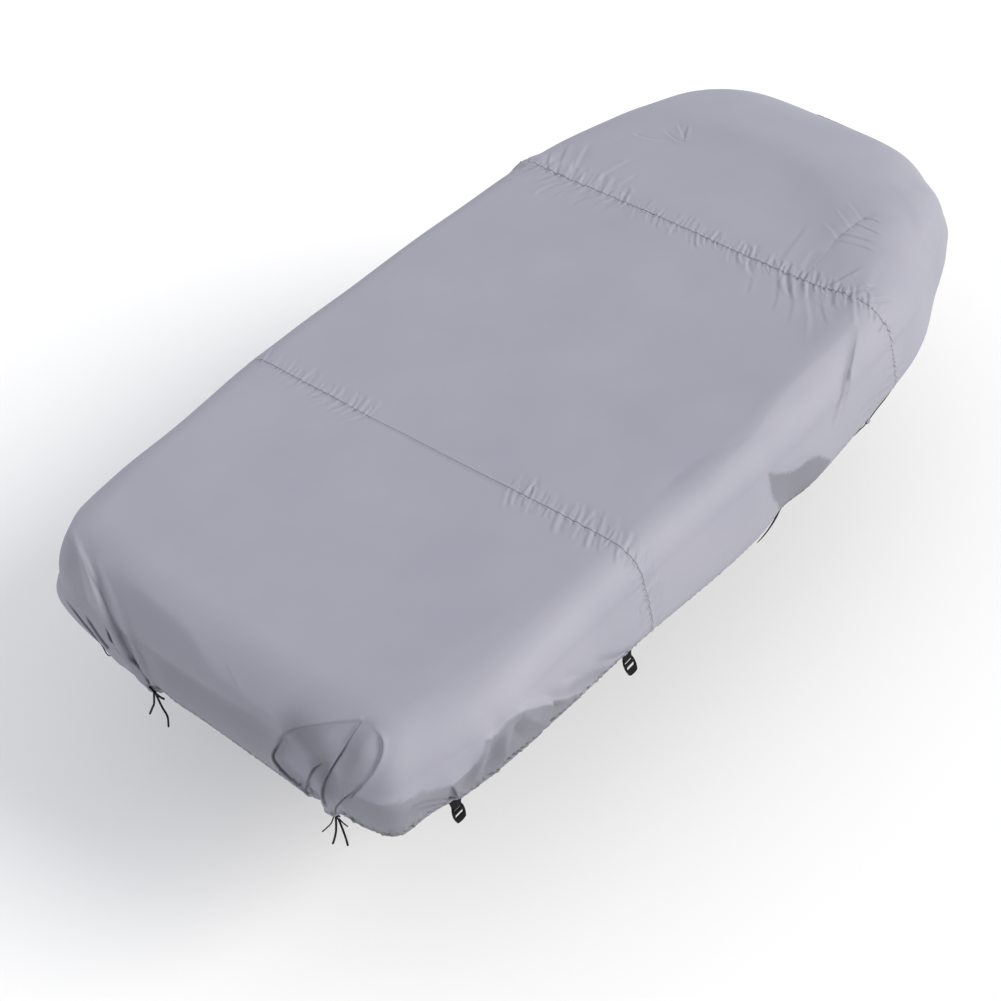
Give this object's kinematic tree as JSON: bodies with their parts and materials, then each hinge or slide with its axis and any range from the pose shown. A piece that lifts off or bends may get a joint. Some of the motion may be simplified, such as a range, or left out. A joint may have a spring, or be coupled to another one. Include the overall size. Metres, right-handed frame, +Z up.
{
  "type": "boat cover",
  "caption": "Fitted storage cover for a small square-bowed boat: seamed coated cloth panels with a turned hem, webbing tabs with slide buckles, hem straps and tie cords.",
  "frame": {"origin": "underside of the flat top on the centreline, where the boat's rails and supports hold the cover up", "axes": "+X towards the bow, +Y to port, +Z up"},
  "size_m": [3.2119, 1.6863, 0.5035],
  "materials": {
    "cover_cloth": "fine woven polyester with a dull waterproof coating",
    "black_webbing": "flat woven polypropylene webbing",
    "black_plastic": "moulded, satin",
    "black_cord": "braided cord",
    "grey_plastic": "moulded, satin"
  },
  "bodies": {
    "root": {"stern_panel": "cover_cloth", "middle_panel": "cover_cloth", "bow_panel": "cover_cloth", "tab_starboard_quarter": "black_webbing", "tab_starboard_middle": "black_webbing", "tab_port_quarter": "black_webbing", "tab_port_middle": "black_webbing", "buckle_starboard_quarter": "black_plastic", "buckle_starboard_middle": "black_plastic", "buckle_port_quarter": "black_plastic", "buckle_port_middle": "black_plastic", "hem_strap_starboard": "black_webbing", "hem_strap_port": "black_webbing", "tie_port_wrap": "black_cord", "tie_port_short_end": "black_cord", "tie_port_long_end": "black_cord", "tie_starboard_loop": "black_cord", "tie_starboard_aft_end": "black_cord", "tie_starboard_fore_end": "black_cord", "tie_starboard_aft_tail": "black_cord", "tie_starboard_fore_tail": "black_cord", "tie_starboard_knot": "black_cord", "drawcord_port_quarter": "black_cord", "drawcord_starboard_shoulder": "black_cord", "drawcord_starboard_side": "black_cord", "drawcord_bow": "black_cord", "drawcord_stopper": "grey_plastic"}
  },
  "joints": []
}
